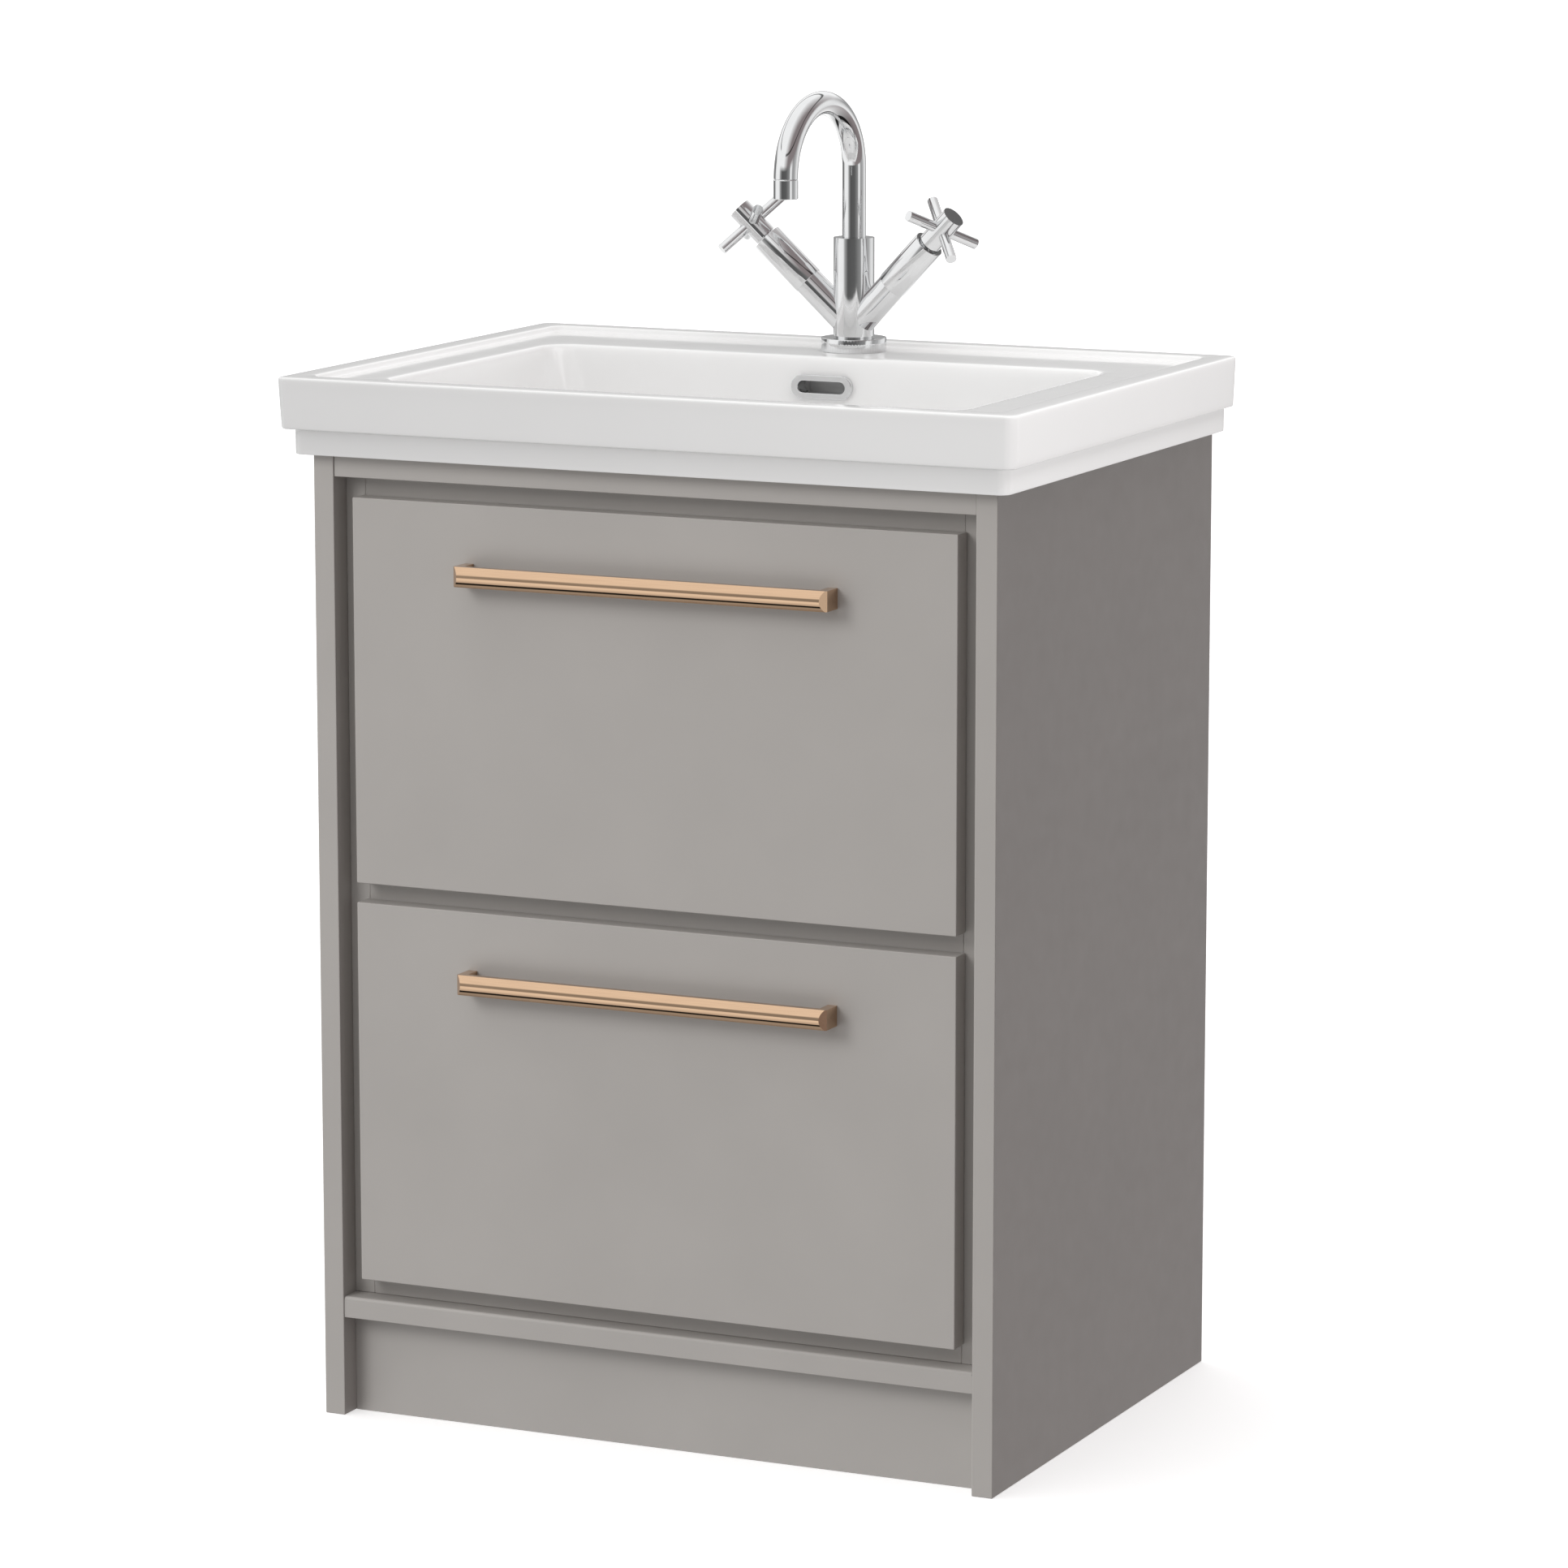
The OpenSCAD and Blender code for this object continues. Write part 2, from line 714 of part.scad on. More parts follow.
// Flange and threaded tail, with a run-out groove below the nut and a guide for the plug's stem
module waste_body() {
    color(chrome) translate([0, waste_y, 0]) difference() {
        union() {
            difference() {
                union() {
                    rod(waste_tail_d, waste_tail_z, waste_nut_z - waste_groove_h);
                    rod(waste_groove_d, waste_tail_z, bowl_floor_z);
                    rod(waste_tail_d, waste_nut_z, bowl_floor_z);
                    rod(waste_flange_d, bowl_floor_z, waste_flange_z);
                }
                rod(waste_bore_d, waste_tail_z - cut, waste_flange_z + cut);
                translate([0, 0, channel_z + channel_h / 2])
                    cube([2 * channel_x, waste_tail_d + 2, channel_h], center = true);
            }
            rod(guide_d, guide_z, guide_z + guide_h);
            translate([0, 0, guide_z + guide_h / 2])
                cube([waste_bore_d + 1, 4, guide_h], center = true);
        }
        rod(plug_stem_d + 2 * plug_play, guide_z - cut, guide_z + guide_h + cut);
    }
}

module waste_gasket() {
    color(rubber) translate([0, waste_y, 0]) difference() {
        rod(waste_flange_d - 2, boss_z - gasket_t, boss_z);
        rod(waste_tail_d, boss_z - gasket_t - cut, boss_z + cut);
    }
}

module waste_nut() {
    color(brass) translate([0, waste_y, 0]) difference() {
        translate([0, 0, waste_nut_z]) cylinder(d = waste_flange_d, h = waste_nut_h, $fn = 6);
        rod(waste_tail_d, waste_nut_z - cut, waste_nut_z + waste_nut_h + cut);
    }
}

// Press plug: a mushroom cap on a stem that slides in the waste's guide
module waste_plug() {
    color(chrome) translate([0, waste_y, 0]) {
        rod(plug_d, plug_z, plug_z + plug_t);
        rod(plug_stem_d, guide_z - plug_tail + plug_travel, plug_z);
    }
}

// ---- Tap ----

module tap_flange() {
    color(chrome) translate([0, tap_y, 0]) difference() {
        rod(tap_flange_d, deck_z, flange_top_z);
        rod(tap_shank_d, deck_z - cut, flange_top_z + cut);
        rod(tap_flange_d - 6, deck_z - cut, deck_z + tap_gasket_t);
    }
}

module tap_gasket() {
    color(rubber) translate([0, tap_y, 0]) difference() {
        rod(tap_flange_d - 6, deck_z, deck_z + tap_gasket_t);
        rod(tap_hole_d + 2, deck_z - cut, deck_z + tap_gasket_t + cut);
    }
}

// Shank, column and the two lower arms, with the waterways and the sockets inside
module tap_body() {
    color(chrome) difference() {
        union() {
            translate([0, tap_y, 0]) {
                rod(tap_shank_d, shank_z, column_z);
                rod(tap_column_d, column_z, column_top_z);
            }
            difference() {
                for (side = [-1, 1]) on_arm(side) rod(arm_d, 0, arm_l);
                translate([0, tap_y, 0]) rod(4 * tap_column_d, shank_z, column_z);
            }
        }
        for (side = [-1, 1]) {
            on_arm(side) rod(cartridge_d, cartridge_from, arm_l + cut);
            on_arm(side) rod(waterway_d, 0, cartridge_from + cut);
            translate([side * hose_x, hose_y, 0]) rod(hose_d, shank_z - cut, shank_z + hose_depth);
        }
        translate([0, tap_y, 0]) {
            rod(waterway_d, arm_z, socket_z + cut);
            rod(spout_d + 2 * spout_play, socket_z, column_top_z + cut);
        }
        translate([0, stud_y, 0]) rod(stud_d, shank_z - cut, shank_z + stud_bite);
    }
}

module tap_stud() {
    color(steel) translate([0, stud_y, 0]) rod(stud_d, shank_z - stud_hang, shank_z + stud_bite);
}

// Horseshoe plate that clamps the tap to the underside of the basin
module tap_clamp_plate() {
    color(steel) difference() {
        translate([0, tap_y, 0]) rod(clamp_d, deck_under_z - clamp_t, deck_under_z);
        board([-clamp_slot / 2, tap_y - clamp_d, deck_under_z - clamp_t - cut],
            [clamp_slot / 2, hose_y + hose_d / 2 + cut, deck_under_z + cut]);
        translate([0, stud_y, 0])
            rod(stud_d + 0.4, deck_under_z - clamp_t - cut, deck_under_z + cut);
    }
}

module tap_nut() {
    color(brass) translate([0, stud_y, deck_under_z - clamp_t - tap_nut_h]) difference() {
        cylinder(d = tap_nut_d, h = tap_nut_h, $fn = 6);
        translate([0, 0, -cut]) cylinder(d = stud_d, h = tap_nut_h + 2 * cut);
    }
}

// A swan-neck tube: a straight leg and a half-circle bend
module spout() {
    color(chrome) {
        translate([0, tap_y - bend_r, bend_z]) rotate([90, 0, 90])
            rotate_extrude(angle = 180, $fn = 96) translate([bend_r, 0]) difference() {
                circle(d = spout_d);
                circle(d = spout_d - 2 * spout_wall);
            }
        translate([0, tap_y, 0]) difference() {
            rod(spout_d, socket_z + cut, bend_z);
            rod(spout_d - 2 * spout_wall, socket_z, bend_z + cut);
        }
    }
}

// Outlet sleeve with a flow insert that has a ring of small holes
module aerator() {
    insert_z = aerator_z + 2;
    bore = spout_d - 2 * spout_wall;
    holes = 8;
    color(chrome) translate([0, outlet_y, 0]) difference() {
        rod(spout_d, aerator_z, bend_z);
        rod(bore - 1, aerator_z - cut, insert_z);
        for (i = [0 : holes - 1])
            rotate([0, 0, 360 * i / holes]) translate([bore / 3, 0, 0])
                rod(3, insert_z - cut, bend_z + cut);
    }
}

// ---- Tap handles ----

module valve_sleeve(side) {
    color(chrome) on_arm(side) difference() {
        rod(sleeve_d, arm_l, sleeve_to);
        rod(sleeve_d - 2 * sleeve_wall, arm_l - cut, sleeve_to - sleeve_cap);
        rod(neck_d + 2 * neck_play, arm_l, sleeve_to + cut);
    }
}

module valve_cartridge(side) {
    color(brass) on_arm(side) difference() {
        rod(cartridge_d, cartridge_from, cartridge_to);
        rod(spindle_hole_d, spindle_from - 2, cartridge_to + cut);
    }
}

module valve_spindle(side) {
    color(brass) on_arm(side) rod(spindle_d, spindle_from, spindle_to);
}

module crosshead(side) {
    color(chrome) on_arm(side) difference() {
        union() {
            rod(neck_d, neck_from, hub_from + cut);
            rod(hub_d, hub_from, hub_from + hub_l);
            for (turn = [0, 90])
                translate([0, 0, bar_at]) rotate([0, 0, bar_turn + turn]) rotate([0, 90, 0])
                    rod(bar_d, -bar_l / 2, bar_l / 2);
        }
        rod(spindle_d, neck_from - cut, spindle_to);
    }
}

side_panel(-1);  // side_panel_left
side_panel(1);  // side_panel_right
carcass_side(-1);  // carcass_side_left
carcass_side(1);  // carcass_side_right
top_front_rail();
inner_top_rail();
mid_rail();
stop_rail();
bottom_board();
plinth();
wall_rail();
back_panel();
drawer_front(upper_front_z, upper_handle_z);  // upper_front
drawer_side(-1, upper_box_z, upper_box_h);  // upper_side_left
drawer_side(1, upper_box_z, upper_box_h);  // upper_side_right
upper_back(-1);  // upper_back_left
upper_back(1);  // upper_back_right
upper_base();
upper_pipe_guard();
handle(upper_handle_z);  // upper_handle
handle_screws(upper_handle_z);  // upper_handle_screws
drawer_front(lower_front_z, lower_handle_z);  // lower_front
drawer_side(-1, lower_box_z, lower_box_h);  // lower_side_left
drawer_side(1, lower_box_z, lower_box_h);  // lower_side_right
lower_back();
lower_base();
handle(lower_handle_z);  // lower_handle
handle_screws(lower_handle_z);  // lower_handle_screws
cabinet_runner(-1, upper_runner_z);  // upper_cabinet_runner_left
cabinet_runner(1, upper_runner_z);  // upper_cabinet_runner_right
middle_runners(upper_runner_z);  // upper_middle_runners
drawer_runner(-1, upper_runner_z);  // upper_drawer_runner_left
drawer_runner(1, upper_runner_z);  // upper_drawer_runner_right
cabinet_runner(-1, lower_runner_z);  // lower_cabinet_runner_left
cabinet_runner(1, lower_runner_z);  // lower_cabinet_runner_right
middle_runners(lower_runner_z);  // lower_middle_runners
drawer_runner(-1, lower_runner_z);  // lower_drawer_runner_left
drawer_runner(1, lower_runner_z);  // lower_drawer_runner_right
basin();
overflow_ring();
waste_body();
waste_gasket();
waste_nut();
waste_plug();
tap_flange();
tap_gasket();
tap_body();
tap_stud();
tap_clamp_plate();
tap_nut();
spout();
aerator();
valve_sleeve(-1);  // hot_sleeve
valve_sleeve(1);  // cold_sleeve
valve_cartridge(-1);  // hot_cartridge
valve_cartridge(1);  // cold_cartridge
valve_spindle(-1);  // hot_spindle
valve_spindle(1);  // cold_spindle
crosshead(-1);  // hot_crosshead
crosshead(1);  // cold_crosshead
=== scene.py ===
"""Looks, light and camera for the bathroom vanity cabinet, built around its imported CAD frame. Metres."""

import json
import math

import bmesh
import bpy
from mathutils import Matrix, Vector


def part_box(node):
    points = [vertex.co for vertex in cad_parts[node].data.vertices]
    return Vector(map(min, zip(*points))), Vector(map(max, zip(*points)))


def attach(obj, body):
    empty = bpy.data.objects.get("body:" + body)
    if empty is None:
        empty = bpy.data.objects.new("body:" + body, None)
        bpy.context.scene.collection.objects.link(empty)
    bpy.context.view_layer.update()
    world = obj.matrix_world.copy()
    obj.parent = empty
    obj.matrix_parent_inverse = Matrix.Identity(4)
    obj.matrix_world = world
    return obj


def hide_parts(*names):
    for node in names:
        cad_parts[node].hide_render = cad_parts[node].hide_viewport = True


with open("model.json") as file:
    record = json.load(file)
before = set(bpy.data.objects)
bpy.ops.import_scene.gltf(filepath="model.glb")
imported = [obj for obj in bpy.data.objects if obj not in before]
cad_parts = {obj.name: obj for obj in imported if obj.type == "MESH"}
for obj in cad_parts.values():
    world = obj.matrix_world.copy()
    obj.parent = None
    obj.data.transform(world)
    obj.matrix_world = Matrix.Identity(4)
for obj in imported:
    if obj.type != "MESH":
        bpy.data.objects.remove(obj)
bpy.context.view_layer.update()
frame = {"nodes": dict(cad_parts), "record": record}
NODES = frame["nodes"]
MM = 0.001
SCENE = bpy.context.scene

# ---- Material building ----


class Nodes:
    """Builds one node material: add() makes a node, link() joins two sockets."""

    def __init__(self, name):
        self.material = bpy.data.materials.new(name)
        self.material.use_nodes = True
        self.tree = self.material.node_tree
        self.shader = self.tree.nodes["Principled BSDF"]
        self.place = self.add("ShaderNodeTexCoord").outputs["Object"]

    def add(self, kind, **values):
        node = self.tree.nodes.new(kind)
        for key, value in values.items():
            if key in node.inputs:
                node.inputs[key].default_value = value
            else:
                setattr(node, key, value)
        return node

    def link(self, source, target):
        self.tree.links.new(source, target)

    def noise(self, scale, detail=2.0, stretch=(1, 1, 1)):
        """Noise with features about 1 / scale metres long, drawn out along an axis by stretch."""
        mapping = self.add("ShaderNodeMapping", Scale=stretch)
        noise = self.add("ShaderNodeTexNoise", Scale=scale, Detail=detail)
        self.link(self.place, mapping.inputs["Vector"])
        self.link(mapping.outputs["Vector"], noise.inputs["Vector"])
        return noise.outputs["Fac"]

    def ramp(self, source, low, high, start=0.3, end=0.7):
        """A colour that runs from low to high as source runs from start to end."""
        ramp = self.add("ShaderNodeValToRGB")
        for stop, place, colour in zip(ramp.color_ramp.elements, (start, end), (low, high)):
            stop.position = place
            stop.color = (*colour, 1)
        self.link(source, ramp.inputs["Fac"])
        return ramp.outputs["Color"]

    def spread(self, source, low, high):
        """A number that runs from low to high with the middle half of source."""
        spread = self.add("ShaderNodeMapRange")
        limits = {"From Min": 0.25, "From Max": 0.75, "To Min": low, "To Max": high}
        for name, value in limits.items():
            spread.inputs[name].default_value = value
        self.link(source, spread.inputs["Value"])
        return spread.outputs["Result"]

    def relief(self, source, depth, strength=1.0, under=None):
        """Bump of that depth in metres, on top of another bump if one is given."""
        bump = self.add("ShaderNodeBump", Strength=strength, Distance=depth)
        self.link(source, bump.inputs["Height"])
        if under is not None:
            self.link(under, bump.inputs["Normal"])
        return bump.outputs["Normal"]

    def finish(self, colour, roughness, normal, **fixed):
        """Links the three varying inputs and sets the uniform ones on the shader itself."""
        self.link(colour, self.shader.inputs["Base Color"])
        self.link(roughness, self.shader.inputs["Roughness"])
        self.link(normal, self.shader.inputs["Normal"])
        for name, value in fixed.items():
            self.shader.inputs[name.replace("_", " ")].default_value = value
        return self.material


def tinted(colour, factor):
    return tuple(c * factor for c in colour)


def lacquer():
    """Satin lacquer sprayed on smooth board: faint mottling and orange peel."""
    n = Nodes("satin_lacquer")
    colour = (0.400, 0.380, 0.360)
    mottle = n.noise(9, detail=4)
    peel = n.relief(n.noise(420, detail=2), 0.00005, strength=0.35)
    dust = n.relief(n.noise(2600, detail=1), 0.00001, strength=0.2, under=peel)
    return n.finish(
        n.ramp(mottle, tinted(colour, 0.975), tinted(colour, 1.025)),
        n.spread(n.noise(60, detail=3), 0.40, 0.50),
        dust,
    )


def laminate():
    """Pale laminated board with a fine linen-like emboss."""
    n = Nodes("pale_laminate")
    colour = (0.66, 0.64, 0.60)
    weft = n.noise(700, detail=2, stretch=(1, 0.12, 1))
    warp = n.noise(700, detail=2, stretch=(0.12, 1, 0.12))
    emboss = n.relief(weft, 0.00006, strength=0.5)
    return n.finish(
        n.ramp(warp, tinted(colour, 0.96), tinted(colour, 1.02)),
        n.spread(n.noise(90, detail=3), 0.42, 0.55),
        n.relief(warp, 0.00006, strength=0.5, under=emboss),
    )


def glaze():
    """White sanitary glaze: a deep gloss with the slightest waviness."""
    n = Nodes("white_glaze")
    colour = (0.86, 0.86, 0.855)
    wave = n.relief(n.noise(28, detail=2), 0.0004, strength=0.12)
    return n.finish(
        n.ramp(n.noise(6, detail=3), tinted(colour, 0.985), tinted(colour, 1.01)),
        n.spread(n.noise(40, detail=3), 0.07, 0.11),
        n.relief(n.noise(900, detail=1), 0.00001, strength=0.15, under=wave),
        IOR=1.4,
    )


def chrome():
    """Bright chrome plating over polished brass."""
    n = Nodes("bright_chrome")
    colour = (0.73, 0.735, 0.74)
    return n.finish(
        n.ramp(n.noise(50, detail=3), tinted(colour, 0.98), tinted(colour, 1.02)),
        n.spread(n.noise(120, detail=4), 0.025, 0.06),
        n.relief(n.noise(60, detail=2), 0.00015, strength=0.04),
        Metallic=1.0,
    )


def copper():
    """Rose-gold plating, polished along the bar."""
    n = Nodes("rose_gold")
    colour = (0.64, 0.44, 0.29)
    brushing = n.noise(1500, detail=3, stretch=(0.02, 1, 1))
    return n.finish(
        n.ramp(brushing, tinted(colour, 0.95), tinted(colour, 1.04)),
        n.spread(n.noise(80, detail=3), 0.04, 0.08),
        n.relief(brushing, 0.00001, strength=0.12),
        Metallic=1.0,
    )


def zinc():
    """Bright zinc plating on rolled steel, with faint rolling lines."""
    n = Nodes("zinc_plate")
    colour = (0.56, 0.57, 0.585)
    rolling = n.noise(900, detail=3, stretch=(1, 0.03, 1))
    return n.finish(
        n.ramp(n.noise(160, detail=5), tinted(colour, 0.86), tinted(colour, 1.1)),
        n.spread(rolling, 0.24, 0.42),
        n.relief(rolling, 0.00003, strength=0.4),
        Metallic=1.0,
    )


def brass():
    """Turned brass with fine tool marks."""
    n = Nodes("turned_brass")
    colour = (0.68, 0.49, 0.22)
    marks = n.noise(1400, detail=2, stretch=(0.1, 0.1, 1))
    return n.finish(
        n.ramp(n.noise(200, detail=4), tinted(colour, 0.85), tinted(colour, 1.08)),
        n.spread(marks, 0.22, 0.38),
        n.relief(marks, 0.00003, strength=0.5),
        Metallic=1.0,
    )


def rubber():
    """Matt black moulded rubber."""
    n = Nodes("black_rubber")
    colour = (0.028, 0.028, 0.030)
    grain = n.noise(1800, detail=4)
    return n.finish(
        n.ramp(grain, tinted(colour, 0.7), tinted(colour, 1.5)),
        n.spread(n.noise(300, detail=3), 0.6, 0.8),
        n.relief(grain, 0.00006, strength=0.6),
    )


FINISHES = {
    "cabinet_paint": lacquer(),
    "drawer_board": laminate(),
    "ceramic": glaze(),
    "chrome": chrome(),
    "copper": copper(),
    "zinc_steel": zinc(),
    "brass": brass(),
    "rubber": rubber(),
}
SLOT_OF = {part["node"]: part["material_slot"] for part in frame["record"]["subparts"]}


def coat(obj, slot):
    """Gives a piece one of the finishes."""
    obj.data.materials.clear()
    obj.data.materials.append(FINISHES[slot])


# ---- Mesh building ----


def piece(name, bm, slot, body, replaces=(), smooth_angle=35):
    """Makes a piece from a bmesh: shaded, coated, riding a body, standing for CAD nodes."""
    bmesh.ops.recalc_face_normals(bm, faces=bm.faces)
    mesh = bpy.data.meshes.new(name)
    bm.to_mesh(mesh)
    bm.free()
    obj = bpy.data.objects.new(name, mesh)
    SCENE.collection.objects.link(obj)
    mesh.shade_smooth()
    mesh.set_sharp_from_angle(angle=math.radians(smooth_angle))
    coat(obj, slot)
    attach(obj, body)
    if replaces:
        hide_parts(*replaces)
    return obj


def loft(bm, rings, closed=False):
    """Skins a list of equally long rings of points with quads. A closed loft joins last to first."""
    rows = [[bm.verts.new(p) for p in ring] for ring in rings]
    pairs = list(zip(rows, rows[1:]))
    if closed:
        pairs.append((rows[-1], rows[0]))
    for a, b in pairs:
        for i in range(len(a)):
            j = (i + 1) % len(a)
            bm.faces.new((a[i], a[j], b[j], b[i]))
    return rows


def turned(bm, profile, centre, axis, segments=64):
    """Turns a profile of (radius, distance along the axis) about an axis through centre."""
    turn = Vector((0, 0, 1)).rotation_difference(Vector(axis)).to_matrix()
    rings = []
    for radius, along in profile:
        ring = []
        for i in range(segments):
            a = 2 * math.pi * i / segments
            point = Vector((radius * math.cos(a), radius * math.sin(a), along))
            ring.append(Vector(centre) + turn @ point)
        rings.append(ring)
    return loft(bm, rings)


def eased(node, width, segments=3, angle=30):
    """Rounds a CAD node's sharp edges with modifiers; its own mesh stays as it is."""
    obj = NODES[node]
    weld = obj.modifiers.new("weld", "WELD")
    weld.merge_threshold = 0.00001
    bevel = obj.modifiers.new("edges", "BEVEL")
    bevel.width = width
    bevel.segments = segments
    bevel.limit_method = "ANGLE"
    bevel.angle_limit = math.radians(angle)
    bevel.use_clamp_overlap = False
    bevel.harden_normals = True


def cut(obj, *tools, operation="DIFFERENCE"):
    """Subtracts bmeshes from a piece, or adds them to it, exactly."""
    for bm in tools:
        bmesh.ops.recalc_face_normals(bm, faces=bm.faces)
        mesh = bpy.data.meshes.new("cutter")
        bm.to_mesh(mesh)
        bm.free()
        cutter = bpy.data.objects.new("cutter", mesh)
        SCENE.collection.objects.link(cutter)
        modifier = obj.modifiers.new("cut", "BOOLEAN")
        modifier.operation = operation
        modifier.solver = "EXACT"
        modifier.object = cutter
        bake(obj)
        bpy.data.objects.remove(cutter)


def flatten(obj):
    """Keeps large flat faces flat where they meet rounded edges."""
    modifier = obj.modifiers.new("normals", "WEIGHTED_NORMAL")
    modifier.keep_sharp = True


def bake(obj):
    """Applies a piece's modifiers to its mesh."""
    bpy.context.view_layer.update()
    graph = bpy.context.evaluated_depsgraph_get()
    mesh = bpy.data.meshes.new_from_object(obj.evaluated_get(graph))
    obj.modifiers.clear()
    obj.data = mesh


def box_mesh(lo, hi, edge=0.0):
    """A box between two corners, its edges rounded by edge."""
    bm = bmesh.new()
    lo, hi = Vector(lo), Vector(hi)
    size = hi - lo
    bmesh.ops.create_cube(bm, size=1)
    bmesh.ops.scale(bm, vec=size, verts=bm.verts)
    bmesh.ops.translate(bm, vec=(lo + hi) / 2, verts=bm.verts)
    if edge:
        bmesh.ops.bevel(
            bm, geom=bm.edges[:], offset=edge, segments=3, profile=0.5, affect="EDGES"
        )
    return bm


def rod_mesh(start, end, radius, segments):
    """A round bar between two points."""
    start, end = Vector(start), Vector(end)
    bm = bmesh.new()
    profile = [(radius, 0), (radius, (end - start).length)]
    rows = turned(bm, profile, start, end - start, segments)
    bm.faces.new(rows[0])
    bm.faces.new(rows[-1])
    return bm


for node, obj in NODES.items():
    coat(obj, SLOT_OF[node])

# ---- Cabinet ----

DRILLED = {"upper_front": "upper_drawer", "lower_front": "lower_drawer", "wall_rail": "cabinet"}
EASE = {"cabinet_paint": 0.8 * MM, "drawer_board": 0.5 * MM}
HANDLE_HOLE_R = 2.25 * MM

for node in NODES:
    if node not in DRILLED and SLOT_OF[node] in EASE:
        eased(node, EASE[SLOT_OF[node]])


def drilled_board(node, holes):
    """A board with rounded edges and holes through it along Y, given as (x, z, radius)."""
    lo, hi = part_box(node)
    slot = SLOT_OF[node]
    obj = piece(
        node + "_board", box_mesh(lo, hi, EASE[slot]), slot, DRILLED[node], replaces=[node]
    )
    margin = Vector((0, 1 * MM, 0))
    tools = []
    for x, z, radius in holes:
        start = Vector((x, lo.y, z)) - margin
        tools.append(rod_mesh(start, Vector((x, hi.y, z)) + margin, radius, segments=32))
    cut(obj, *tools)
    obj.data.set_sharp_from_angle(angle=math.radians(35))
    flatten(obj)


MOUNTS = {mount["name"]: mount for mount in frame["record"]["mounts"]}


def cabinet():
    """The two drawer fronts and the wall rail, whose holes need their own meshes."""
    for level in ("upper", "lower"):
        lo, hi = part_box(level + "_handle_screws")
        head = (hi.z - lo.z) / 2
        xs = (lo.x + head, hi.x - head)
        drilled_board(level + "_front", [(x, (lo.z + hi.z) / 2, HANDLE_HOLE_R) for x in xs])
    fixing = MOUNTS["wall_fixings"]
    spacing = fixing["dims"]["spacing_x_mm"] * MM
    radius = fixing["dims"]["hole_r_mm"] * MM
    z = fixing["pos_m"][2]
    drilled_board("wall_rail", [(x, z, radius) for x in (-spacing / 2, spacing / 2)])


cabinet()

# ---- Basin ----

BASIN_LO, BASIN_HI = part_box("basin")
RIM_Z = BASIN_HI.z
DECK_Z = RIM_Z - 4.5 * MM  # the sunken deck round the bowl
FOOT_Z = 800 * MM  # the foot stands on the cabinet
STEP_Z = FOOT_Z + 21 * MM  # the flared band starts above the foot
FLOOR_Z = DECK_Z - 113.5 * MM
BOSS_Z = BASIN_LO.z
WASTE_Y = MOUNTS["waste_tail"]["pos_m"][1]
WASTE_HOLE_R = 22.45 * MM
BOSS_R = 35 * MM
TAP_HOLE_R = 17.5 * MM
OVERFLOW_SEAT = (55 * MM, 20 * MM)  # length and height
OVERFLOW_TUBE = (46 * MM, 13 * MM)
OVERFLOW_TUBE_LENGTH = 24 * MM
RING_SEAT_DEPTH = 6.2 * MM
DUCT_FRONT, DUCT_BACK = 122 * MM, 148.5 * MM
DUCT_FOOT, DUCT_TOP = 708 * MM, DECK_Z - 8 * MM
DUCT_HOLLOW_TOP = 844 * MM
DUCT_EDGE = 2 * MM
DUCT_X = 31 * MM
DUCT_WALL = 8 * MM
CHANNEL_X = 18 * MM
CHANNEL_TOP = 737 * MM
CHANNEL_START = WASTE_Y + 25 * MM  # behind the waste hole, inside the boss


def rounded(half, front, back, radius, z, corner=8, edge=5):
    """A ring of points round a rectangle with rounded corners, centred on x = 0."""
    ring = []
    centres = [
        (half - radius, back - radius),
        (radius - half, back - radius),
        (radius - half, front + radius),
        (half - radius, front + radius),
    ]
    for quarter, (cx, cy) in enumerate(centres):
        for i in range(corner + 1):
            a = math.pi / 2 * (quarter + i / corner)
            ring.append(Vector((cx + radius * math.cos(a), cy + radius * math.sin(a), z)))
        end = ring[-1]
        nx, ny = centres[(quarter + 1) % 4]
        a = math.pi / 2 * (quarter + 1)
        start = Vector((nx + radius * math.cos(a), ny + radius * math.sin(a), z))
        ring += [end.lerp(start, i / edge) for i in range(1, edge)]
    return ring


def inset(section, by, z):
    """A section moved inwards all round by a distance, at a new height."""
    half, front, back, r = section[:4]
    return (half - by, front + by, min(back - by, BASIN_HI.y), max(r - by, 1 * MM), z)


